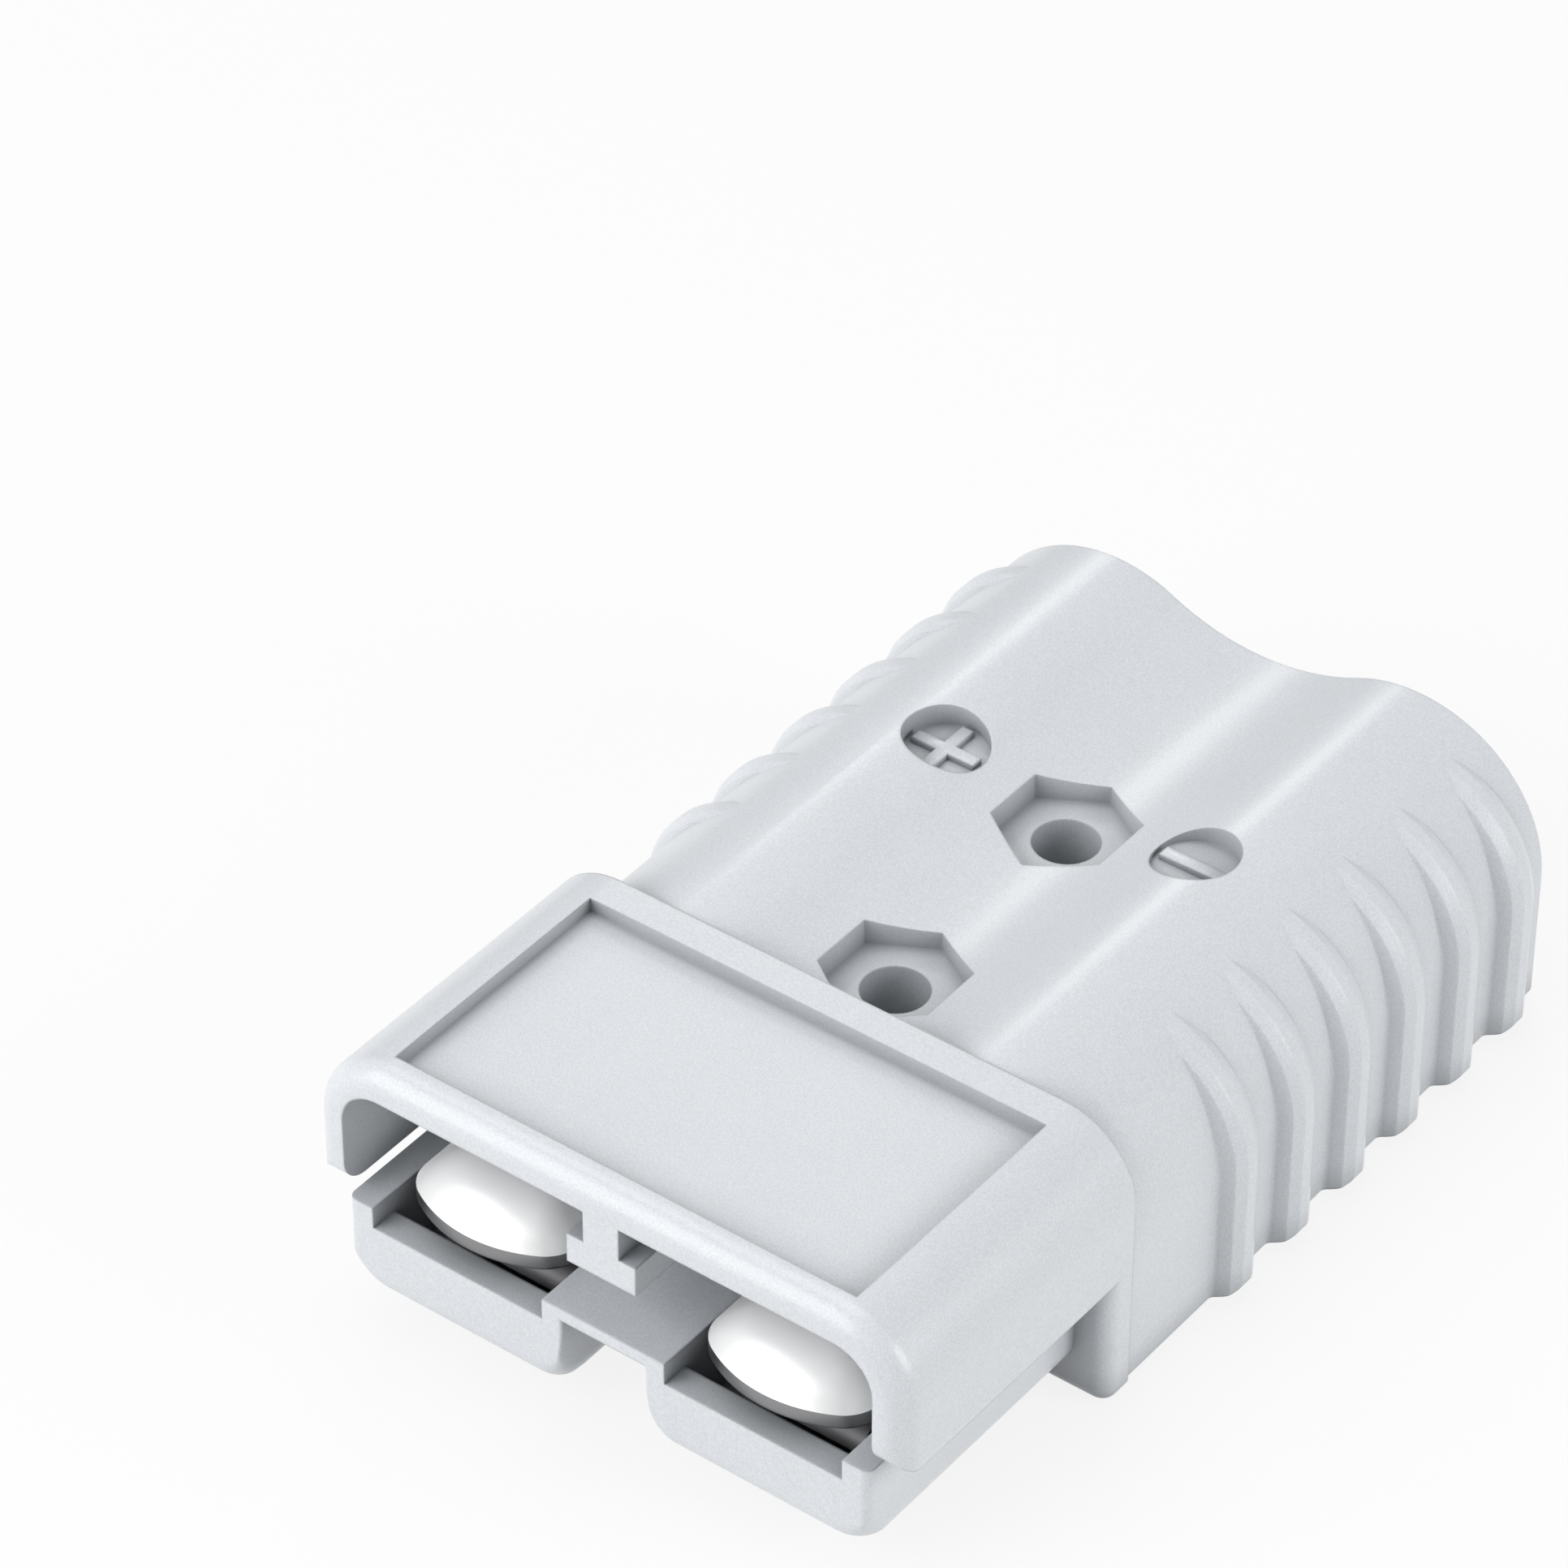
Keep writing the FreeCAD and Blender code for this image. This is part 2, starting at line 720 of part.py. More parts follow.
def cut_top_recesses(body):
    """Label recess, nut recesses, bolt holes and the round recesses of the marks."""
    half_width = hood_half_width - s.recess_side_margin
    front_y = from_rear(s.length - s.recess_front_margin)
    rear_y = from_rear(hood_start + s.recess_rear_margin)
    recess = box_outline(-half_width, front_y, half_width, rear_y)
    floor = s.height - s.recess_depth
    pocket(body, "label_recess", plan(body, "recess_plan", [recess], floor), s.recess_depth + OVERCUT, True)

    nuts = []
    holes = []
    point = s.nut_flats / root(as_size(3))
    for place in (rear_bolt, front_bolt):
        y = from_rear(place)
        nut = Outline(0, y - point)
        nut.line(s.nut_flats / 2, y - point / 2)
        nut.line(s.nut_flats / 2, y + point / 2)
        nut.line(0, y + point)
        nut.line(-s.nut_flats / 2, y + point / 2)
        nut.line(-s.nut_flats / 2, y - point / 2)
        nuts.append(nut.close())
        holes.append(Circle(0, y, s.bolt_hole_radius))
    above = s.height - nut_floor + OVERCUT
    pocket(body, "nut_recesses", plan(body, "nut_plan", nuts, nut_floor), above, backwards=True)
    through = s.height + OVERCUT
    pocket(body, "bolt_holes", plan(body, "hole_plan", holes, -OVERCUT), through, backwards=True)

    mark_x = contact_x - s.mark_shift
    mark_y = from_rear(rear_bolt - s.mark_setback)
    marks = [Circle(x, mark_y, s.mark_radius) for x in (mark_x, -mark_x)]
    above = s.height - mark_floor + OVERCUT
    pocket(body, "mark_recesses", plan(body, "mark_plan", marks, mark_floor), above, backwards=True)


def slot_outline(start, end):
    """A slot with round ends on the centre line."""
    low, high = from_rear(end), from_rear(start)
    radius = s.slot_radius
    outline = Outline(radius, low)
    outline.line(radius, high)
    outline.arc(0, high + radius, radius, LEFT_TURN)
    outline.arc(-radius, high, radius, LEFT_TURN)
    outline.line(-radius, low)
    outline.arc(0, low - radius, radius, LEFT_TURN)
    outline.arc(radius, low, radius, LEFT_TURN)
    return outline.end_at_start()


def panel_outline():
    """A shallow bare panel with round corners."""
    low = from_rear(hood_start - s.panel_setback)
    high = low + s.panel_length
    inner = contact_x + s.panel_shift - s.panel_width / 2
    outer = inner + s.panel_width
    outline = Outline(inner + s.panel_round, low)
    outline.corner(outer, low, s.panel_round, EAST, NORTH)
    outline.corner(outer, high, s.panel_round, NORTH, WEST)
    outline.corner(inner, high, s.panel_round, WEST, SOUTH)
    outline.corner(inner, low, s.panel_round, SOUTH, EAST)
    return outline.end_at_start()


def core_flat_side(body):
    """Blind slots, keyhole, notches, panels and discs in the flat side."""
    front_slot_end = front_bolt - s.slot_gap
    slots = [
        slot_outline(s.rear_slot_margin, rear_bolt - s.slot_gap),
        slot_outline(front_slot_end - s.front_slot_length, front_slot_end),
    ]
    pocket(body, "coring_slots", plan(body, "slot_plan", slots), s.slot_depth, backwards=True)
    for name, place, radius in (
        ("keyhole", front_bolt, s.keyhole_radius),
        ("keyhole_neck", front_bolt + s.keyhole_reach, s.keyhole_neck_radius),
    ):
        circle = Circle(0, from_rear(place), radius)
        pocket(body, name, plan(body, name + "_plan", [circle]), s.keyhole_depth, backwards=True)
    rear_y = from_rear(rear_bolt - s.notch_lead)
    front_y = rear_y - s.notch_length
    notch = Outline(rear_y, 0)
    notch.line(rear_y - s.notch_rear_ramp, s.notch_depth)
    notch.line(front_y + s.notch_front_ramp, s.notch_depth)
    notch.line(front_y, 0)
    notch.close()
    inner_x = contact_x - s.notch_shift - (s.notch_spacing + s.notch_width) / 2
    outer_x = inner_x + s.notch_spacing
    for name, start_x in (
        ("notch_a", -outer_x - s.notch_width),
        ("notch_b", -inner_x - s.notch_width),
        ("notch_c", inner_x),
        ("notch_d", outer_x),
    ):
        sketch = side_view(body, name + "_profile", [notch], start_x)
        pocket(body, name, sketch, s.notch_width, backwards=True)
    panels = both(panel_outline())
    pocket(body, "panels", plan(body, "panel_plan", panels), s.panel_depth, backwards=True)
    discs = [Circle(x, from_rear(s.disc_place), s.disc_radius) for x in (contact_x, -contact_x)]
    pocket(body, "discs", plan(body, "disc_plan", discs), s.disc_depth, backwards=True)


def make_housing():
    """The one-piece moulded housing."""
    body = new_body("housing")
    pad(body, "rear_body", cross_section(body, "body_profile", [body_outline()], 0), collar_front - OVERCUT)
    soften(body, "Chamfer", "rear_edge", s.rear_bevel, lambda edge: lies_on(edge, "Y", half_length.value))
    sketch = cross_section(body, "collar_profile", [collar_outline()], hood_start)
    pad(body, "collar", sketch, s.collar_thickness)
    pad(body, "hood", cross_section(body, "hood_profile", [hood_outline()], hood_start), s.hood_length)
    front_y = from_rear(s.length).value
    outer_x = hood_half_width.value
    shoulder_x = outer_x - s.hood_shoulder_radius.value

    def is_hood_front(edge):
        box = edge.BoundBox
        on_roof = abs(box.ZMin - s.height.value) < NEAR
        on_shoulder = box.ZMax > s.height.value - NEAR and abs(box.XMax - box.XMin) > NEAR
        on_side = lies_on(edge, "X", outer_x) or lies_on(edge, "X", -outer_x)
        beyond = max(abs(box.XMin), abs(box.XMax)) > shoulder_x
        return lies_on(edge, "Y", front_y) and (on_roof or on_side or (on_shoulder and beyond))

    soften(body, "Fillet", "hood_front_edge", s.hood_front_round, is_hood_front)
    round_wall_corners(body)
    collar_y = from_rear(collar_front).value

    def is_collar_corner(edge):
        box = edge.BoundBox
        on_side = lies_on(edge, "X", outer_x) or lies_on(edge, "X", -outer_x)
        return lies_on(edge, "Y", collar_y) and on_side and box.ZMax < wall_foot.value + NEAR

    soften(body, "Fillet", "collar_corners", s.collar_corner_round, is_collar_corner)
    pad(body, "rail", cross_section(body, "rail_profile", [rail_outline()], hood_start), s.hood_length)
    pad(body, "tongue", cross_section(body, "tongue_profile", [tongue_outline()], hood_start), s.hood_length)
    round_tongue_front(body)
    cut_contact_spaces(body)
    cut_top_recesses(body)
    core_flat_side(body)
    add_ribs(body)
    round_rib_feet(body)
    cut_cable_openings(body)
    return body


def make_contact(label, side):
    """A crimp barrel, a neck and a flat blade with a raised hook tip."""
    body = new_body(label)
    centre_x = side * contact_x
    barrel = [Circle(centre_x, mating_plane, s.barrel_radius)]
    pad(body, label + "_barrel", cross_section(body, label + "_barrel_profile", barrel, s.barrel_setback),
        s.barrel_length)

    half = s.blade_width / 2
    half_width = s.neck_start_width / 2
    half_thick = s.neck_start_thickness / 2
    thick = box_outline(
        centre_x - half_width, mating_plane - half_thick, centre_x + half_width, mating_plane + half_thick
    )
    flat = box_outline(centre_x - half, blade_bottom, centre_x + half, blade_top)
    start = cross_section(body, label + "_neck_thick", [thick], barrel_end)
    end = cross_section(body, label + "_neck_flat", [flat], neck_end)
    neck = body.newObject("PartDesign::AdditiveLoft", label + "_neck")
    neck.Profile = start
    neck.Sections = [end]
    neck.Ruled = True
    doc.recompute()

    lower_nose = s.blade_thickness - s.nose_radius
    ramp_start = tip_place - s.hook_length - s.hook_ramp
    ramp_end = tip_place - s.hook_length
    blade = Outline(from_rear(neck_end), blade_bottom)
    blade.line(from_rear(neck_end), blade_top)
    blade.line(from_rear(ramp_start), blade_top)
    blade.line(from_rear(ramp_end), pad_top)
    blade.line(from_rear(tip_place - s.nose_radius), pad_top)
    blade.arc(from_rear(tip_place), pad_top - s.nose_radius, s.nose_radius, LEFT_TURN)
    blade.arc(from_rear(tip_place - lower_nose), pad_bottom, lower_nose, LEFT_TURN)
    blade.line(from_rear(ramp_end), pad_bottom)
    blade.line(from_rear(ramp_start), blade_bottom)
    blade.close()
    sketch = side_view(body, label + "_blade_profile", [blade], centre_x - half)
    pad(body, label + "_blade", sketch, s.blade_width)

    trims = []
    for hand in (1, -1):
        edge_x = centre_x + hand * half
        inner_x = centre_x + hand * (half - s.tip_corner_radius)
        tip_y = from_rear(tip_place)
        corner_y = tip_y + s.tip_bow + s.tip_corner_radius
        trim = Outline(edge_x, corner_y)
        turn = RIGHT_TURN if hand == 1 else LEFT_TURN
        trim.arc(inner_x, tip_y + s.tip_bow, s.tip_corner_radius, turn)
        trim.line(centre_x, tip_y)
        trim.line(centre_x, tip_y - OVERCUT)
        trim.line(edge_x + hand * OVERCUT, tip_y - OVERCUT)
        trim.line(edge_x + hand * OVERCUT, corner_y)
        trims.append(trim.close())
    pocket(body, label + "_tip_left", plan(body, label + "_tip_left_plan", [trims[1]]), s.height, True)
    pocket(body, label + "_tip_right", plan(body, label + "_tip_right_plan", [trims[0]]), s.height, True)

    bore = [Circle(centre_x, mating_plane, s.barrel_bore_radius)]
    sketch = cross_section(body, label + "_bore_profile", bore, s.barrel_setback - OVERCUT)
    pocket(body, label + "_bore", sketch, s.barrel_bore_depth + OVERCUT, backwards=True)
    hole_place = s.barrel_setback + s.barrel_bore_depth - s.sight_hole_inset
    hole = [Circle(centre_x, from_rear(hole_place), s.sight_hole_radius)]
    sketch = plan(body, label + "_sight_plan", hole, mating_plane)
    pocket(body, label + "_sight_hole", sketch, s.barrel_radius + OVERCUT, backwards=True)
    return body


def make_spring(label, side):
    """A bowed leaf with two flat feet on the tongue's floor, just under the blade."""
    body = new_body(label)
    chord_half = s.spring_span / 2 - s.spring_foot
    floor_top = cavity_floor + s.spring_thickness
    crest = blade_bottom - s.spring_clearance - s.spring_thickness
    rise = crest - cavity_floor
    inner_radius = (chord_half * chord_half + rise * rise) / (2 * rise)
    outer_radius = inner_radius + s.spring_thickness
    centre_z = crest - inner_radius
    above = floor_top - centre_z
    outer_half = root(outer_radius * outer_radius - above * above)
    middle = from_rear(collar_front + s.spring_setback + s.spring_span / 2)
    half_span = s.spring_span / 2
    leaf = Outline(middle - half_span, cavity_floor)
    leaf.line(middle - chord_half, cavity_floor)
    leaf.arc(middle, crest, inner_radius, RIGHT_TURN)
    leaf.arc(middle + chord_half, cavity_floor, inner_radius, RIGHT_TURN)
    leaf.line(middle + half_span, cavity_floor)
    leaf.line(middle + half_span, floor_top)
    leaf.line(middle + outer_half, floor_top)
    leaf.arc(middle, crest + s.spring_thickness, outer_radius, LEFT_TURN)
    leaf.arc(middle - outer_half, floor_top, outer_radius, LEFT_TURN)
    leaf.line(middle - half_span, floor_top)
    leaf.close()
    start_x = side * contact_x - s.spring_width / 2
    pad(body, label + "_leaf", side_view(body, label + "_profile", [leaf], start_x), s.spring_width)
    return body


POSITIVE, NEGATIVE = -1, 1
parts = [make_housing()]
for pole, pole_side in (("positive", POSITIVE), ("negative", NEGATIVE)):
    parts.append(make_contact("contact_" + pole, pole_side))
    parts.append(make_spring("contact_spring_" + pole, pole_side))
doc.recompute()

for item in doc.Objects:
    if "Invalid" in item.State or "Error" in item.State:
        raise RuntimeError(item.Name + " failed: " + str(item.State))
for part in parts:
    if part.Shape.isNull() or not part.Shape.isValid():
        raise RuntimeError(part.Label + " has no valid shape")
    if len(part.Shape.Solids) != 1:
        raise RuntimeError(part.Label + " is not one solid")
    part.Placement = FreeCAD.Placement()

os.makedirs("parts", exist_ok=True)
for part in parts:
    part.Shape.exportStep("parts/" + part.Label + ".step")
    box = part.Shape.BoundBox
    print(part.Label, "volume %.0f" % part.Shape.Volume, "box", box)
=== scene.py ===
"""Looks of a genderless two-pole power connector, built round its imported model.

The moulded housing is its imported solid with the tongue's nose rounded. The silver contacts are
rebuilt with domed, softly rounded blades, the polarity marks are added in their recesses, and the
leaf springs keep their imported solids. All lengths are in metres.
"""

import logging
import math
from dataclasses import dataclass, field
from enum import Enum
from typing import Any, Dict, List, Optional, Sequence, Tuple, Union

import bmesh
import bpy
from mathutils import Euler, Matrix, Vector


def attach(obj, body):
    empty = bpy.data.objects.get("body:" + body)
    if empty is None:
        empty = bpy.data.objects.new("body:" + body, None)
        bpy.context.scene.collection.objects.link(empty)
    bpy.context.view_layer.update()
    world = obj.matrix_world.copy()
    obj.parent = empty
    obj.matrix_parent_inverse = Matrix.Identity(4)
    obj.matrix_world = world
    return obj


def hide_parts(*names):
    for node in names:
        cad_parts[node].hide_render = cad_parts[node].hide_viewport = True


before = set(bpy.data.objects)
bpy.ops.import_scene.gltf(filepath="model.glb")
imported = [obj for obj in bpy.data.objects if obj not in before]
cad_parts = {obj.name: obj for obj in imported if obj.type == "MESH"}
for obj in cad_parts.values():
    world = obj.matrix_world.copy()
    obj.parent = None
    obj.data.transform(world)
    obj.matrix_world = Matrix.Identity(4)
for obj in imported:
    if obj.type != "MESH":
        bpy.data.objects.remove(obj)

Point = Tuple[float, float, float]
Spot = Tuple[float, float]
Colour = Tuple[float, float, float]
Operand = Union["Wire", float, int]
Tint = Union["Wire", Colour]

LOG = logging.getLogger("connector")
MM = 0.001
ROOT_BODY = "root"


class Pole(Enum):
    """The two poles, with the side of the connector each one is on."""

    POSITIVE = -1
    NEGATIVE = 1

    @property
    def word(self) -> str:
        """The pole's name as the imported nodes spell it."""
        return self.name.lower()


class Join(Enum):
    """How a second solid meets a first one."""

    ADD = "UNION"
    CUT = "DIFFERENCE"


class Wire:
    """A shader value that adds Math nodes when it is used in an expression."""

    def __init__(self, recipe: "Recipe", socket: Optional[bpy.types.NodeSocket]) -> None:
        """Wrap one output socket.

        Args:
            recipe: The material recipe that the socket belongs to.
            socket: The output socket to carry on from; an end node has none.
        """
        self.recipe = recipe
        self.socket = socket

    def _math(self, operation: str, *operands: Operand) -> "Wire":
        """Add one Math node.

        Args:
            operation: The node's operation.
            operands: Its inputs, in order.

        Returns:
            The node's result.
        """
        return self.recipe.node("ShaderNodeMath", {"operation": operation}, dict(enumerate(operands)))

    def __add__(self, other: Operand) -> "Wire":
        """Self plus other."""
        return self._math("ADD", self, other)

    def __radd__(self, other: Operand) -> "Wire":
        """Other plus self."""
        return self._math("ADD", other, self)

    def __sub__(self, other: Operand) -> "Wire":
        """Self minus other."""
        return self._math("SUBTRACT", self, other)

    def __rsub__(self, other: Operand) -> "Wire":
        """Other minus self."""
        return self._math("SUBTRACT", other, self)

    def __mul__(self, other: Operand) -> "Wire":
        """Self times other."""
        return self._math("MULTIPLY", self, other)

    def __rmul__(self, other: Operand) -> "Wire":
        """Other times self."""
        return self._math("MULTIPLY", other, self)

    def power(self, exponent: Operand) -> "Wire":
        """Self raised to an exponent."""
        return self._math("POWER", self, exponent)

    def at_least(self, limit: Operand) -> "Wire":
        """The larger of self and a limit."""
        return self._math("MAXIMUM", self, limit)


class Recipe:
    """The nodes of one procedural material, or of the world."""

    def __init__(self, owner: Union[bpy.types.Material, bpy.types.World]) -> None:
        """Start with no nodes.

        Args:
            owner: What the nodes belong to.
        """
        self.owner = owner
        owner.use_nodes = True
        self.tree = owner.node_tree
        self.tree.nodes.clear()

    @classmethod
    def for_material(cls, name: str) -> "Recipe":
        """A recipe for a new material."""
        return cls(bpy.data.materials.new(name))

    def node(
        self,
        kind: str,
        settings: Optional[Dict[str, Any]] = None,
        values: Optional[Dict[Union[str, int], Any]] = None,
        out: Union[str, int] = 0,
    ) -> Wire:
        """Add any node.

        Args:
            kind: The node's type.
            settings: Its own settings, which are set first.
            values: What each input socket holds: a number, a tuple or a Wire.
            out: The output to hand back.

        Returns:
            The chosen output.
        """
        made = self.tree.nodes.new(kind)
        for name, setting in (settings or {}).items():
            setattr(made, name, setting)
        for socket_name, value in (values or {}).items():
            socket = made.inputs[socket_name]
            if isinstance(value, Wire):
                self.tree.links.new(value.socket, socket)
            else:
                socket.default_value = value
        return Wire(self, made.outputs[out] if made.outputs else None)

    def noise(self, size: float, detail: float = 2.0, roughness: float = 0.5) -> Wire:
        """Object-space noise whose blobs are about one size across.

        Args:
            size: The blobs' size in metres.
            detail: How many finer layers are added.
            roughness: How strong the finer layers are.

        Returns:
            The noise, from 0 to 1.
        """
        place = self.node("ShaderNodeTexCoord", out="Object")
        return self.node(
            "ShaderNodeTexNoise",
            {"noise_dimensions": "3D"},
            {"Vector": place, "Scale": 1.0 / size, "Detail": detail, "Roughness": roughness},
            out="Fac",
        )

    def tint(self, factor: Operand, low: Tint, high: Tint) -> Wire:
        """Mix two colours.

        Args:
            factor: 0 for the first colour, 1 for the second.
            low: The first colour, plain or worked out.
            high: The second colour, plain or worked out.

        Returns:
            The mixed colour.
        """
        # A colour Mix node has its factor in input 0, its colours in 6 and 7 and its result in output 2.
        ends = [colour if isinstance(colour, Wire) else (*colour, 1.0) for colour in (low, high)]
        return self.node("ShaderNodeMix", {"data_type": "RGBA"}, {0: factor, 6: ends[0], 7: ends[1]}, out=2)

    def finish(self, shader: Wire) -> bpy.types.Material:
        """Send a shader to the output.

        Args:
            shader: The surface's shader.

        Returns:
            The finished material.
        """
        self.node("ShaderNodeOutputMaterial", values={"Surface": shader})
        return self.owner


@dataclass(frozen=True)
class MouldedPlastic:
    """Pale cool-grey moulded plastic with a semi-gloss skin, fine grain and soft edges.

    Its colour is darkened with painted shade where less than the reach is open round it: in recesses,
    corners, gaps and under the hood.
    """

    name: str = "moulded_grey"
    colour: Colour = (0.675, 0.695, 0.72)
    shade: Colour = (0.595, 0.615, 0.64)
    painted_shade_colour: Colour = (0.20, 0.215, 0.23)
    painted_shade_reach: float = 5.0 * MM
    painted_shade_power: float = 1.3
    roughness: float = 0.36
    roughness_spread: float = 0.08
    grain_size: float = 0.22 * MM
    grain_height: float = 0.012 * MM
    grain_contrast: float = 2.8
    flow_size: float = 9.0 * MM
    flow_contrast: float = 0.4
    edge_radius: float = 0.42 * MM
    coat: float = 0.25
    coat_roughness: float = 0.18

    def material(self) -> bpy.types.Material:
        """Build the material.

        Returns:
            The plastic's material.
        """
        recipe = Recipe.for_material(self.name)
        grain = recipe.noise(self.grain_size, detail=1.0)
        flow = recipe.noise(self.flow_size, detail=3.0)
        mottle = 0.5 + (flow - 0.5) * self.flow_contrast + (grain - 0.5) * self.grain_contrast
        skin = recipe.tint(mottle, self.shade, self.colour)
        # Painted shade: ambient occlusion darkens the colour towards the painted shade colour in recesses,
        # corners, gaps and under the hood.
        openness_for_painted_shade = recipe.node(
            "ShaderNodeAmbientOcclusion", {"samples": 8}, {"Distance": self.painted_shade_reach}, out="AO"
        )
        colour = recipe.tint(openness_for_painted_shade.power(self.painted_shade_power), self.painted_shade_colour, skin)
        rough = self.roughness + (flow + grain - 1.0) * self.roughness_spread
        soft_edge = recipe.node(
            "ShaderNodeBevel", {"samples": 6}, {"Radius": self.edge_radius}, out="Normal"
        )
        bump = recipe.node(
            "ShaderNodeBump",
            values={"Strength": 1.0, "Distance": self.grain_height, "Height": grain, "Normal": soft_edge},
        )
        return recipe.finish(
            recipe.node(
                "ShaderNodeBsdfPrincipled",
                values={
                    "Base Color": colour,
                    "Roughness": rough,
                    "IOR": 1.5,
                    "Coat Weight": self.coat,
                    "Coat Roughness": self.coat_roughness,
                    "Normal": bump,
                },
            )
        )


@dataclass(frozen=True)
class PlatedMetal:
    """Plated or rolled metal with painted light: bright satin where it faces up, and painted shade that
    darkens its sides.

    The painted light turns from the sides' dark edge colour to the bright top's finish between the
    edge_from and edge_to heights of the surface's direction, which runs from -1 (down) to 1 (up).
    """

    name: str
    colour: Colour
    shade: Colour
    edge: Colour
    metallic: float
    edge_metallic: float
    roughness: float
    roughness_spread: float
    edge_from: float = 0.30
    edge_to: float = 0.60
    wear_size: float = 3.0 * MM
    rub_size: float = 0.5 * MM
    rub_height: float = 0.0006 * MM

    def material(self) -> bpy.types.Material:
        """Build the material.

        Returns:
            The metal's material.
        """
        recipe = Recipe.for_material(self.name)
        wear = recipe.noise(self.wear_size, detail=3.0)
        rub = recipe.noise(self.rub_size, detail=2.0, roughness=0.6)
        # Painted light and shade: up-facing surfaces get the bright, partly metal finish, and sides get the
        # dark edge colour with more metal.
        facing = recipe.node("ShaderNodeTexCoord", out="Normal")
        upward = recipe.node("ShaderNodeSeparateXYZ", values={"Vector": facing}, out="Z")
        painted_light_by_facing = recipe.node(
            "ShaderNodeMapRange",
            {"interpolation_type": "SMOOTHSTEP"},
            {"Value": upward, "From Min": self.edge_from, "From Max": self.edge_to},
        )
        bump = recipe.node(
            "ShaderNodeBump",
            values={"Strength": 1.0, "Distance": self.rub_height, "Height": rub},
        )
        face = recipe.tint(wear, self.shade, self.colour)
        return recipe.finish(
            recipe.node(
                "ShaderNodeBsdfPrincipled",
                values={
                    "Base Color": recipe.tint(painted_light_by_facing, self.edge, face),
                    "Metallic": self.edge_metallic + painted_light_by_facing * (self.metallic - self.edge_metallic),
                    "Roughness": self.roughness + (wear - 0.5) * self.roughness_spread,
                    "Normal": bump,
                },
            )
        )


# Full metal would mirror the dark hood above the pads, so the silver's up-facing top is only partly metal
# and painted near white, and its sides are painted dark with the edge colour.
SILVER = PlatedMetal(
    "bright_silver",
    colour=(0.97, 0.97, 0.965),
    shade=(0.93, 0.93, 0.925),
    edge=(0.30, 0.30, 0.305),
    metallic=0.30,
    edge_metallic=0.95,
    roughness=0.34,
    roughness_spread=0.06,
)
# Painted shade: the steel's colours are set darker than bare steel to stand for the shade in the gap under
# the blades, and its sides are painted darker still.
SHADE_DARKENED_SPRING_STEEL = PlatedMetal(
    "spring_steel",
    colour=(0.30, 0.30, 0.31),
    shade=(0.22, 0.22, 0.23),
    edge=(0.18, 0.18, 0.19),
    metallic=1.0,
    edge_metallic=1.0,
    roughness=0.32,
    roughness_spread=0.12,
)


def mesh_piece(
    name: str, work: bmesh.types.BMesh, material: bpy.types.Material, smooth_angle: float
) -> bpy.types.Object:
    """Turn a finished bmesh into a piece that rides on the root body.

    Args:
        name: The piece's name.
        work: The mesh, which is freed here.
        material: Its finish.
        smooth_angle: The angle in degrees below which neighbouring faces are shaded as one.

    Returns:
        The new object.
    """
    bmesh.ops.recalc_face_normals(work, faces=work.faces)
    mesh = bpy.data.meshes.new(name)
    work.to_mesh(mesh)
    work.free()
    mesh.materials.append(material)
    mesh.shade_smooth()
    mesh.set_sharp_from_angle(angle=math.radians(smooth_angle))
    piece = bpy.data.objects.new(name, mesh)
    bpy.context.scene.collection.objects.link(piece)
    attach(piece, ROOT_BODY)
    LOG.info("%s: %d faces", name, len(mesh.polygons))
    return piece


def solid_object(work: bmesh.types.BMesh) -> bpy.types.Object:
    """Put a mesh in an object of its own for the joining step.

    Args:
        work: The mesh, which is freed here.

    Returns:
        The object, linked to the scene.
    """
    bmesh.ops.recalc_face_normals(work, faces=work.faces)
    mesh = bpy.data.meshes.new("blank")
    work.to_mesh(mesh)
    work.free()
    solid = bpy.data.objects.new("blank", mesh)
    bpy.context.scene.collection.objects.link(solid)
    return solid


def take_mesh(solid: bpy.types.Object) -> bmesh.types.BMesh:
    """Take a joining step's mesh out of its object, which is dropped.

    Args:
        solid: The object.

    Returns:
        Its mesh.
    """
    work = bmesh.new()
    work.from_mesh(solid.data)
    bpy.data.objects.remove(solid)
    return work


def combine(base: bpy.types.Object, tool: bpy.types.Object, join: Join) -> bpy.types.Object:
    """Join a second solid to a first one, or cut it away, and drop both.

    Args:
        base: The first solid.
        tool: The second solid.
        join: How they meet.

    Returns:
        The result.
    """
    step = base.modifiers.new("step", "BOOLEAN")
    step.operation = join.value
    step.solver = "EXACT"
    step.object = tool
    graph = bpy.context.evaluated_depsgraph_get()
    mesh = bpy.data.meshes.new_from_object(base.evaluated_get(graph))
    result = bpy.data.objects.new("blank", mesh)
    bpy.context.scene.collection.objects.link(result)
    for used in (base, tool):
        bpy.data.objects.remove(used)
    return result


def loft(rings: Sequence[Sequence[Point]]) -> bmesh.types.BMesh:
    """Close a row of equal rings into a solid.

    Args:
        rings: The rings' points, each ring with the same count.

    Returns:
        The solid.
    """
    work = bmesh.new()
    rows = [[work.verts.new(point) for point in ring] for ring in rings]
    for near, far in zip(rows, rows[1:]):
        for place in range(len(near)):
            after = (place + 1) % len(near)
            work.faces.new((near[place], near[after], far[after], far[place]))
    work.faces.new(rows[0])
    work.faces.new(rows[-1])
    return work


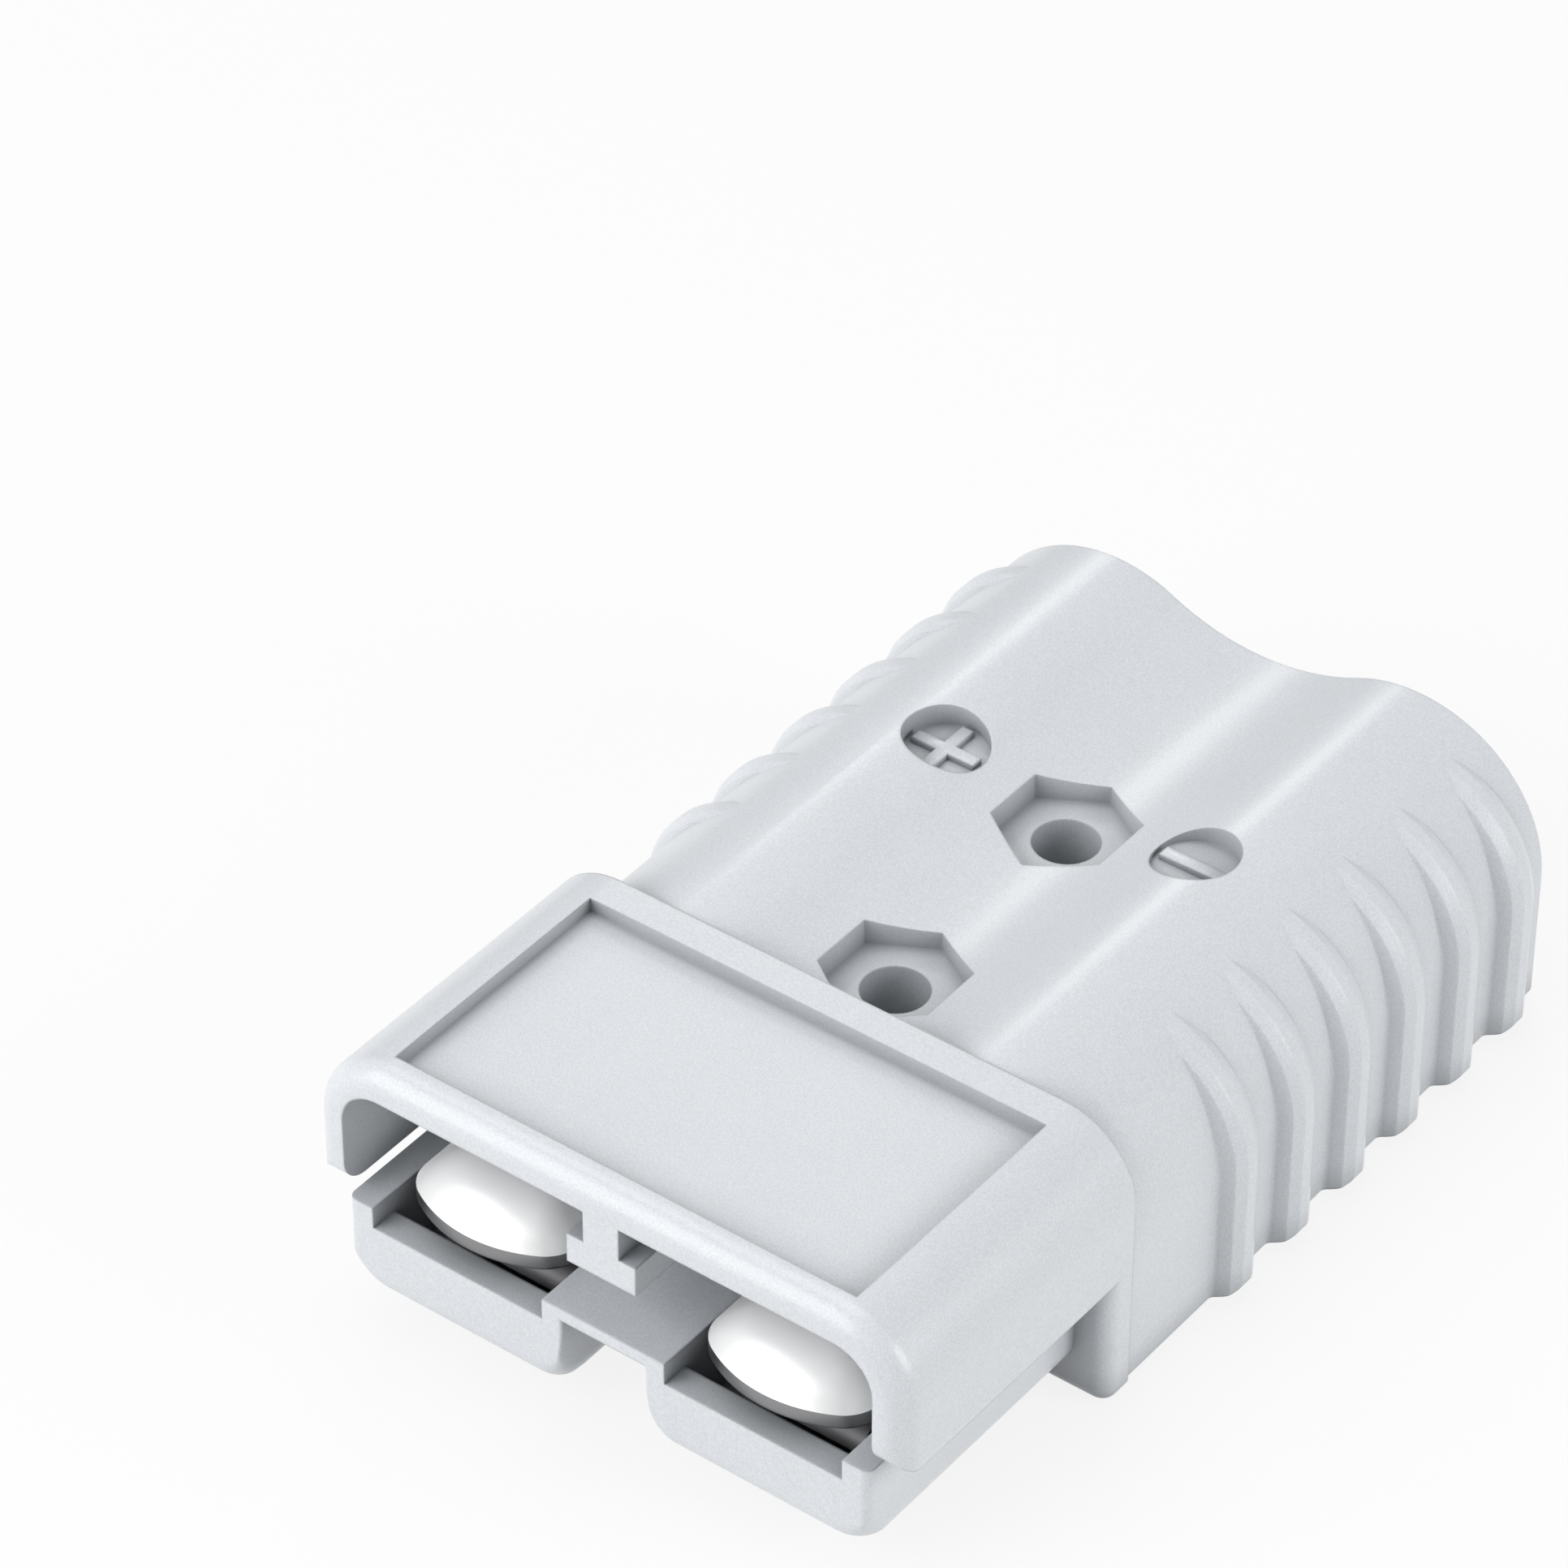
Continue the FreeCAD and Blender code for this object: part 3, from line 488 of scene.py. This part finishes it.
@dataclass
class MouldedHousing:
    """The moulded housing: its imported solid, with the tongue's nose rounded like a ship's bow.

    Each half of the tongue runs from inner to outer across the connector and from low to its lip.
    Its upright front edges are rounded by a bow radius at their foot. Its lower edges are rounded by
    a corner radius, which grows by the extra corner towards the front. The new nose stands proud of
    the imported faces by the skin, so that no sliver is cut off them.
    """

    plastic: MouldedPlastic = field(default_factory=MouldedPlastic)
    node: str = "housing"
    front: float = -54.0 * MM
    low: float = 3.6 * MM
    lip: float = 12.1 * MM
    web_floor: float = 13.2 * MM
    inner: float = 4.9 * MM
    outer: float = 31.05 * MM
    edge_round: float = 2.8 * MM
    inner_bow: float = 2.4 * MM
    outer_bow: float = 4.4 * MM
    inner_corner: float = 2.5 * MM
    outer_corner: float = 3.1 * MM
    extra_corner: float = 1.2 * MM
    skin: float = 0.02 * MM
    margin: float = 0.5 * MM
    headroom: float = 2.0 * MM
    weld: float = 0.001 * MM
    bow_steps: int = 10
    side_steps: int = 8
    smooth_angle: float = 19.0

    def build(self) -> bpy.types.Material:
        """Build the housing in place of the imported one.

        Returns:
            The plastic, for the marks moulded with the housing.
        """
        material = self.plastic.material()
        shell = self._packed_copy()
        for pole in Pole:
            waste = combine(solid_object(self._blank(pole)), solid_object(self._nose(pole)), Join.CUT)
            shell = combine(shell, waste, Join.CUT)
        piece = mesh_piece("moulded_housing", take_mesh(shell), material, self.smooth_angle)
        weighted = piece.modifiers.new("flat_faces_stay_flat", "WEIGHTED_NORMAL")
        weighted.keep_sharp = True
        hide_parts(self.node)
        return material

    def _packed_copy(self) -> bpy.types.Object:
        """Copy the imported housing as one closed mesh, for the joining steps.

        Returns:
            The copy.
        """
        work = bmesh.new()
        work.from_mesh(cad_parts[self.node].data)
        bmesh.ops.remove_doubles(work, verts=work.verts, dist=self.weld)
        shell = solid_object(work)
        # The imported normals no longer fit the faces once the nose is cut.
        packed_normals = shell.data.attributes.get("custom_normal")
        if packed_normals:
            shell.data.attributes.remove(packed_normals)
        return shell

    def _blank(self, pole: Pole) -> bmesh.types.BMesh:
        """Make the plain block round one half of the tongue's nose.

        Args:
            pole: The side of the connector.

        Returns:
            The block.
        """
        near, far = self.front - self.margin, self.front + self.outer_bow
        corners = [
            (self.inner, self.low - self.margin),
            (self.outer + self.margin, self.low - self.margin),
            (self.outer + self.margin, self.lip),
            (self.inner, self.lip),
        ]
        return loft([[(pole.value * x, y, z) for x, z in corners] for y in (near, far)])

    def _nose(self, pole: Pole) -> bmesh.types.BMesh:
        """Loft one half of the tongue's nose as it should be.

        Args:
            pole: The side of the connector.

        Returns:
            The nose, from its front to a little behind its rounding.
        """
        turns = [math.radians(90 * part / self.bow_steps) for part in range(self.bow_steps + 1)]
        depths = [self.outer_bow * (1 - math.cos(turn)) for turn in turns]
        rings = [self._nose_ring(pole, depth, self.front + depth) for depth in depths]
        rings.append(self._nose_ring(pole, self.outer_bow, self.front + self.outer_bow + self.margin))
        return loft(rings)

    def _nose_ring(self, pole: Pole, depth: float, y: float) -> List[Point]:
        """The nose's section at a depth behind its front.

        Args:
            pole: The side of the connector.
            depth: How far behind the front the section's rounding is taken.
            y: Where the section goes.

        Returns:
            The section's points.
        """
        extra = self.extra_corner * (1 - depth / self.outer_bow)
        floor = self.low - self.skin + self._fade(self.edge_round, depth)
        right = self._nose_side(self.outer_corner + extra, self.outer_bow, self.lip, depth, floor)
        left = self._nose_side(self.inner_corner + extra / 2, self.inner_bow, self.web_floor, depth, floor)
        ring = [(self.outer + self.skin - x, z) for x, z in right]
        ring += [(self.inner - self.skin + x, z) for x, z in reversed(left)]
        return [(pole.value * x, y, z) for x, z in ring]

    @staticmethod
    def _fade(radius: float, depth: float) -> float:
        """How far a round edge of a radius lies in from its face at a depth behind its start."""
        rest = max(radius - depth, 0.0)
        return radius - math.sqrt(radius * radius - rest * rest)

    def _nose_side(self, corner: float, bow: float, top: float, depth: float, floor: float) -> List[Spot]:
        """One side of a nose section, from its top down and round its lower corner.

        Args:
            corner: The lower corner's radius.
            bow: The radius of the upright edge at its foot, which fades out towards the top.
            top: Where that edge is square again.
            depth: How far behind the front the section lies.
            floor: The section's lower side.

        Returns:
            Pairs of distance in from the side and height.
        """
        points: List[Spot] = [(0.0, self.lip + self.headroom), (0.0, top)]
        inset = 0.0
        for part in range(1, self.side_steps + 1):
            height = top + (floor + corner - top) * part / self.side_steps
            inset = self._fade(bow, depth) * ((top - height) / (top - self.low)) ** 2
            points.append((inset, height))
        for part in range(1, self.side_steps + 1):
            turn = math.radians(90 * part / self.side_steps)
            points.append((inset + corner * (1 - math.cos(turn)), floor + corner * (1 - math.sin(turn))))
        return points


@dataclass
class PolarityMark:
    """A raised plus or minus sign on the floor of its round recess."""

    pole: Pole
    reach: float = 15.0 * MM
    along: float = 19.8 * MM
    floor: float = 29.3 * MM
    top: float = 30.0 * MM
    arm_length: float = 7.6 * MM
    arm_width: float = 1.5 * MM
    sink: float = 0.1 * MM
    soft_edge: float = 0.15 * MM
    smooth_angle: float = 40.0

    def build(self, material: bpy.types.Material) -> bpy.types.Object:
        """Build the sign.

        Args:
            material: The housing's plastic.

        Returns:
            The sign's object.
        """
        work = bmesh.new()
        outline = self._plus() if self.pole is Pole.POSITIVE else self._bar()
        base = [work.verts.new((x, y, self.floor - self.sink)) for x, y in outline]
        face = work.faces.new(base)
        raised = bmesh.ops.extrude_face_region(work, geom=[face])["geom"]
        lifted = [item for item in raised if isinstance(item, bmesh.types.BMVert)]
        bmesh.ops.translate(work, verts=lifted, vec=(0, 0, self.top - self.floor + self.sink))
        upper = [edge for edge in work.edges if all(vert in lifted for vert in edge.verts)]
        bmesh.ops.bevel(
            work, geom=upper, offset=self.soft_edge, segments=2, affect="EDGES", profile=0.5
        )
        piece = mesh_piece("mark_" + self.pole.word, work, material, self.smooth_angle)
        return piece

    def _bar(self) -> List[Spot]:
        """Outline the minus sign, which lies across the connector.

        Returns:
            The outline's corners.
        """
        centre = self.pole.value * self.reach
        half_length, half_width = self.arm_length / 2, self.arm_width / 2
        return [
            (centre - half_length, self.along - half_width),
            (centre + half_length, self.along - half_width),
            (centre + half_length, self.along + half_width),
            (centre - half_length, self.along + half_width),
        ]

    def _plus(self) -> List[Spot]:
        """Outline the plus sign.

        Returns:
            The outline's corners.
        """
        centre = self.pole.value * self.reach
        half_length, half_width = self.arm_length / 2, self.arm_width / 2
        corner = [(half_width, half_width), (half_width, half_length), (-half_width, half_length)]
        outline: List[Spot] = []
        for turn in range(4):
            spin = Matrix.Rotation(turn * math.pi / 2, 2)
            for x, y in corner:
                spot = spin @ Vector((x, y))
                outline.append((centre + spot.x, self.along + spot.y))
        return outline


@dataclass(frozen=True)
class Ring:
    """One level of the pad: how far it is drawn in from the outline, and how high it lies."""

    inset: float
    height: float


@dataclass
class CrimpContact:
    """A silver contact: crimp barrel, flattened neck, flat blade and a domed pad at its tip."""

    pole: Pole
    reach: float = 17.5 * MM
    barrel_height: float = 15.5 * MM
    barrel_radius: float = 7.8 * MM
    bore_radius: float = 6.4 * MM
    bore_depth: float = 32.0 * MM
    barrel_rear: float = 47.5 * MM
    barrel_front: float = 9.5 * MM
    sight_hole_radius: float = 1.6 * MM
    sight_hole_place: float = 18.5 * MM
    neck_half_width: float = 6.5 * MM
    neck_half_thickness: float = 3.5 * MM
    neck_front: float = -2.5 * MM
    neck_overlap: float = 1.0 * MM
    blade_half_width: float = 9.4 * MM
    blade_low: float = 11.4 * MM
    blade_high: float = 14.2 * MM
    ramp_start: float = -35.1 * MM
    ramp_end: float = -39.1 * MM
    buried_length: float = 3.0 * MM
    buried_drop: float = 0.3 * MM
    buried_share: float = 0.9
    pad_low: float = 14.0 * MM
    pad_rim: float = 16.0 * MM
    pad_high: float = 19.9 * MM
    crown_power: float = 3.1
    crown_reach: float = 0.96
    bow_radius: float = 14.6 * MM
    corner_radius: float = 4.2 * MM
    pad_rear: float = -33.9 * MM
    tip: float = -52.6 * MM
    rounding: float = 0.5 * MM
    round_middle: float = 0.3
    rim_edge: float = 0.075 * MM
    circle_steps: int = 72
    round_steps: int = 5
    corner_steps: int = 4
    outline_steps: int = 12
    side_steps: int = 8
    smooth_angle: float = 35.0

    def build(self, material: bpy.types.Material) -> bpy.types.Object:
        """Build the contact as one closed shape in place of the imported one.

        Args:
            material: The silver finish.

        Returns:
            The contact's object.
        """
        shape = solid_object(self._barrel())
        for other in (self._neck(), self._blade(), self._pad()):
            shape = combine(shape, solid_object(other), Join.ADD)
        for hole in (self._bore(), self._sight_hole()):
            shape = combine(shape, solid_object(hole), Join.CUT)
        name = "silver_contact_" + self.pole.word
        piece = mesh_piece(name, take_mesh(shape), material, self.smooth_angle)
        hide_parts("contact_" + self.pole.word)
        return piece

    def _centre(self) -> float:
        """The contact's middle across the connector."""
        return self.pole.value * self.reach

    def _turns(self) -> List[float]:
        """The angles round a full circle."""
        return [2 * math.pi * step / self.circle_steps for step in range(self.circle_steps)]

    def _disc(self, radius: float, y: float) -> List[Point]:
        """Draw a circle across the barrel's axis.

        Args:
            radius: The circle's radius.
            y: Its place along the connector.

        Returns:
            The circle's points.
        """
        x, z = self._centre(), self.barrel_height
        return [(x + radius * math.cos(turn), y, z + radius * math.sin(turn)) for turn in self._turns()]

    def _barrel(self) -> bmesh.types.BMesh:
        """Loft the barrel's outside, with soft end edges.

        Returns:
            The barrel without its bore.
        """
        radius, soft, middle = self.barrel_radius, self.rounding, self.rounding * self.round_middle
        return loft(
            [
                self._disc(radius - soft, self.barrel_rear),
                self._disc(radius - middle, self.barrel_rear - middle),
                self._disc(radius, self.barrel_rear - soft),
                self._disc(radius, self.barrel_front + soft),
                self._disc(radius - soft, self.barrel_front),
            ]
        )

    def _bore(self) -> bmesh.types.BMesh:
        """The cutter for the bore that takes the cable, which starts behind the barrel."""
        places = (self.barrel_rear + self.bore_radius, self.barrel_rear - self.bore_depth)
        return loft([self._disc(self.bore_radius, y) for y in places])

    def _sight_hole(self) -> bmesh.types.BMesh:
        """Loft the upright cutter for the sight hole.

        Returns:
            The cutter, from the barrel's axis to well above the barrel.
        """
        x, y, radius = self._centre(), self.sight_hole_place, self.sight_hole_radius
        circle = [(x + radius * math.cos(turn), y + radius * math.sin(turn)) for turn in self._turns()]
        levels = (self.barrel_height, self.barrel_height + 2 * self.barrel_radius)
        return loft([[(*spot, z) for spot in circle] for z in levels])

    def _slab(self, half_width: float, low: float, high: float, y: float) -> List[Point]:
        """Draw a rectangle with soft corners across the contact.

        Args:
            half_width: Half of its width.
            low: The height of its lower side.
            high: The height of its upper side.
            y: Its place along the connector.

        Returns:
            The rectangle's points.
        """
        middle, soft = self._centre(), self.rounding
        ring: List[Point] = []
        for side, level, start in ((1, high, 0), (-1, high, 90), (-1, low, 180), (1, low, 270)):
            up = 1 if level == high else -1
            for part in range(self.corner_steps + 1):
                turn = math.radians(start + 90 * part / self.corner_steps)
                x = middle + side * (half_width - soft) + soft * math.cos(turn)
                ring.append((x, y, level - up * soft + soft * math.sin(turn)))
        return ring

    def _neck(self) -> bmesh.types.BMesh:
        """Loft the neck that flattens and widens from the barrel to the blade.

        Returns:
            The neck, with its ends inside the barrel and the blade.
        """
        low, high = (self.barrel_height + hand * self.neck_half_thickness for hand in (-1, 1))
        half, front = self.blade_half_width, self.neck_front
        return loft(
            [
                self._slab(self.neck_half_width, low, high, self.barrel_front + 2 * self.rounding),
                self._slab(self.neck_half_width, low, high, self.barrel_front),
                self._slab(half, self.blade_low, self.blade_high, front),
                self._slab(half, self.blade_low, self.blade_high, front - self.neck_overlap),
            ]
        )

    def _blade(self) -> bmesh.types.BMesh:
        """Loft the flat blade, with the ramp that lifts the pad.

        Returns:
            The blade, with its front end inside the pad.
        """
        half = self.blade_half_width
        lifted = self.pad_low + self.blade_high - self.blade_low
        buried_half, buried_high = half * self.buried_share, lifted - self.buried_drop
        return loft(
            [
                self._slab(half, self.blade_low, self.blade_high, self.neck_front),
                self._slab(half, self.blade_low, self.blade_high, self.ramp_start),
                self._slab(half, self.pad_low, lifted, self.ramp_end),
                self._slab(buried_half, self.pad_low, buried_high, self.ramp_end - self.buried_length),
            ]
        )

    def _pad_outline(self) -> List[Spot]:
        """Outline the pad from above: a bowed front, round corners, straight sides and a straight rear.

        Returns:
            Points round the outline, about the contact's middle line.
        """
        half, corner, bow = self.blade_half_width, self.corner_radius, self.bow_radius
        inner = half - corner
        lean = math.asin(inner / (bow - corner))
        bow_y = self.tip + bow
        corner_y = bow_y - (bow - corner) * math.cos(lean)
        right: List[Spot] = []
        for part in range(self.outline_steps + 1):
            turn = lean * part / self.outline_steps
            right.append((bow * math.sin(turn), bow_y - bow * math.cos(turn)))
        for part in range(1, self.outline_steps + 1):
            turn = lean + (math.pi / 2 - lean) * part / self.outline_steps
            right.append((inner + corner * math.sin(turn), corner_y - corner * math.cos(turn)))
        for part in range(1, self.side_steps + 1):
            right.append((half, corner_y + (self.pad_rear - corner_y) * part / self.side_steps))
        left = [(-x, y) for x, y in reversed(right[1:])]
        return right + left

    def _pad_profile(self) -> List[Ring]:
        """Draw the pad's section: a side that rounds under, a crisp upper rim and the crown.

        Returns:
            The section's levels, from the lower side to the crown's middle.
        """
        soft = self.rounding
        turns = [math.radians(90 * part / self.round_steps) for part in range(self.round_steps + 1)]
        profile = [
            Ring(soft * (1 - math.sin(turn)), self.pad_low + soft * (1 - math.cos(turn))) for turn in turns
        ]
        profile += [Ring(0.0, self.pad_rim - self.rim_edge), Ring(self.rim_edge, self.pad_rim)]
        reach = self.crown_reach * self.blade_half_width
        rise = self.pad_high - self.pad_rim
        for part in range(1, self.outline_steps + 1):
            share = part / self.outline_steps
            profile.append(Ring(share * reach, self.pad_rim + rise * self._dome(share)))
        return profile

    def _pad(self) -> bmesh.types.BMesh:
        """Loft the domed pad from its outline and its profile.

        Returns:
            The pad.
        """
        middle_y = (self.pad_rear + self.tip) / 2
        half_length = (self.pad_rear - self.tip) / 2
        outline = self._pad_outline()
        rings: List[List[Point]] = []
        for level in self._pad_profile():
            wide = 1 - level.inset / self.blade_half_width
            long = 1 - level.inset / half_length
            rings.append(
                [
                    (self._centre() + x * wide, middle_y + (y - middle_y) * long, level.height)
                    for x, y in outline
                ]
            )
        return loft(rings)

    def _dome(self, share: float) -> float:
        """How far the crown has risen at a share of the way from the pad's rim to its middle."""
        return 1 - (1 - share) ** self.crown_power


@dataclass
class LeafSpring:
    """The bowed leaf spring under a contact's blade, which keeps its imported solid."""

    pole: Pole

    def dress(self, material: bpy.types.Material) -> None:
        """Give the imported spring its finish.

        Args:
            material: The spring steel.
        """
        name = "contact_spring_" + self.pole.word
        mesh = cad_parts[name].data
        mesh.materials.clear()
        mesh.materials.append(material)
        LOG.info("%s: %d faces", name, len(mesh.polygons))


@dataclass(frozen=True)
class Softbox:
    """A square lamp that faces the connector.

    Its azimuth runs from the cable end (+Y) towards +X and its elevation from the floor, both in
    degrees, and its power is in watts.
    """

    name: str
    azimuth: float
    elevation: float
    size: float
    power: float
    distance: float = 0.85

    def build(self) -> None:
        """Hang the lamp."""
        turn, lift = math.radians(self.azimuth), math.radians(self.elevation)
        flat = self.distance * math.cos(lift)
        place = (flat * math.sin(turn), flat * math.cos(turn), self.distance * math.sin(lift))
        data = bpy.data.lights.new(self.name, "AREA")
        data.shape = "SQUARE"
        data.size = self.size
        data.energy = self.power
        lamp = bpy.data.objects.new(self.name, data)
        lamp.location = place
        lamp.rotation_euler = (-Vector(place)).to_track_quat("-Z", "Y").to_euler()
        bpy.context.scene.collection.objects.link(lamp)


SOFTBOXES = (
    Softbox("softbox_top", azimuth=-60.0, elevation=75.0, size=0.55, power=2.4),
    Softbox("softbox_back", azimuth=-38.0, elevation=33.0, size=0.13, power=0.38),
    Softbox("softbox_right", azimuth=76.0, elevation=22.0, size=0.45, power=3.5),
    Softbox("softbox_front", azimuth=208.0, elevation=30.0, size=0.75, power=6.0),
)


@dataclass
class Studio:
    """The camera, the pale floor, the world and the soft lamps."""

    lens: float = 156.76
    sensor: float = 36.0
    camera_place: Point = (0.291834, -0.411063, 0.450373)
    camera_turn: Point = (51.197, -0.1421, 37.3037)
    floor_half: float = 3.0
    floor_drop: float = 0.2 * MM
    floor_glow: float = 0.85
    world_strength: float = 0.30
    softboxes: Tuple[Softbox, ...] = SOFTBOXES

    def build(self) -> None:
        """Set the scene up round the connector."""
        self._camera()
        self._floor()
        self._world()
        for softbox in self.softboxes:
            softbox.build()
        bpy.context.scene.view_settings.view_transform = "Standard"
        LOG.info("studio ready")

    def _camera(self) -> None:
        """Add the camera at the photograph's viewing angle."""
        data = bpy.data.cameras.new("camera")
        data.lens = self.lens
        data.sensor_width = self.sensor
        data.clip_start = 0.01
        data.clip_end = 20.0
        camera = bpy.data.objects.new("camera", data)
        camera.location = self.camera_place
        camera.rotation_euler = Euler([math.radians(angle) for angle in self.camera_turn])
        bpy.context.scene.collection.objects.link(camera)
        bpy.context.scene.camera = camera

    def _floor(self) -> None:
        """Add the white floor, which keeps the connector's shadow."""
        work = bmesh.new()
        half = self.floor_half
        corners = [(-half, -half), (half, -half), (half, half), (-half, half)]
        work.faces.new([work.verts.new((x, y, -self.floor_drop)) for x, y in corners])
        mesh = bpy.data.meshes.new("floor")
        work.to_mesh(mesh)
        work.free()
        mesh.materials.append(self._floor_material())
        floor = bpy.data.objects.new("floor", mesh)
        bpy.context.scene.collection.objects.link(floor)

    def _floor_material(self) -> bpy.types.Material:
        """Build the white that shows as the background and still takes the shadow.

        Returns:
            The floor's material.
        """
        recipe = Recipe.for_material("studio_floor")
        path = {
            name: recipe.node("ShaderNodeLightPath", out=name)
            for name in ("Is Camera Ray", "Is Glossy Ray", "Is Transmission Ray")
        }
        seen = path["Is Camera Ray"].at_least(path["Is Glossy Ray"]).at_least(path["Is Transmission Ray"])
        matt = recipe.node("ShaderNodeBsdfDiffuse", values={"Color": (0.8, 0.8, 0.8, 1.0)})
        glow = recipe.node("ShaderNodeEmission", values={"Color": (1.0, 1.0, 1.0, 1.0), "Strength": 1.0})
        both = recipe.node("ShaderNodeMixShader", values={0: seen * self.floor_glow, 1: matt, 2: glow})
        return recipe.finish(both)

    def _world(self) -> None:
        """Light the scene softly and show white behind it."""
        world = bpy.data.worlds.new("studio_world")
        bpy.context.scene.world = world
        recipe = Recipe(world)
        path = {
            name: recipe.node("ShaderNodeLightPath", out=name)
            for name in ("Is Camera Ray", "Is Transmission Ray")
        }
        seen = path["Is Camera Ray"].at_least(path["Is Transmission Ray"])
        soft = recipe.node(
            "ShaderNodeBackground",
            values={"Color": (0.97, 0.985, 1.0, 1.0), "Strength": self.world_strength},
        )
        white = recipe.node("ShaderNodeBackground", values={"Color": (1.0, 1.0, 1.0, 1.0), "Strength": 1.0})
        both = recipe.node("ShaderNodeMixShader", values={0: seen, 1: soft, 2: white})
        recipe.node("ShaderNodeOutputWorld", values={"Surface": both})


def main() -> None:
    """Build the connector's looks, piece by piece."""
    logging.basicConfig(level=logging.INFO, format="%(message)s")
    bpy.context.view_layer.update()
    plastic = MouldedHousing().build()
    for pole in Pole:
        PolarityMark(pole).build(plastic)
    silver = SILVER.material()
    for pole in Pole:
        CrimpContact(pole).build(silver)
    spring_steel = SHADE_DARKENED_SPRING_STEEL.material()
    for pole in Pole:
        LeafSpring(pole).dress(spring_steel)
    Studio().build()


if __name__ == "__main__":
    main()
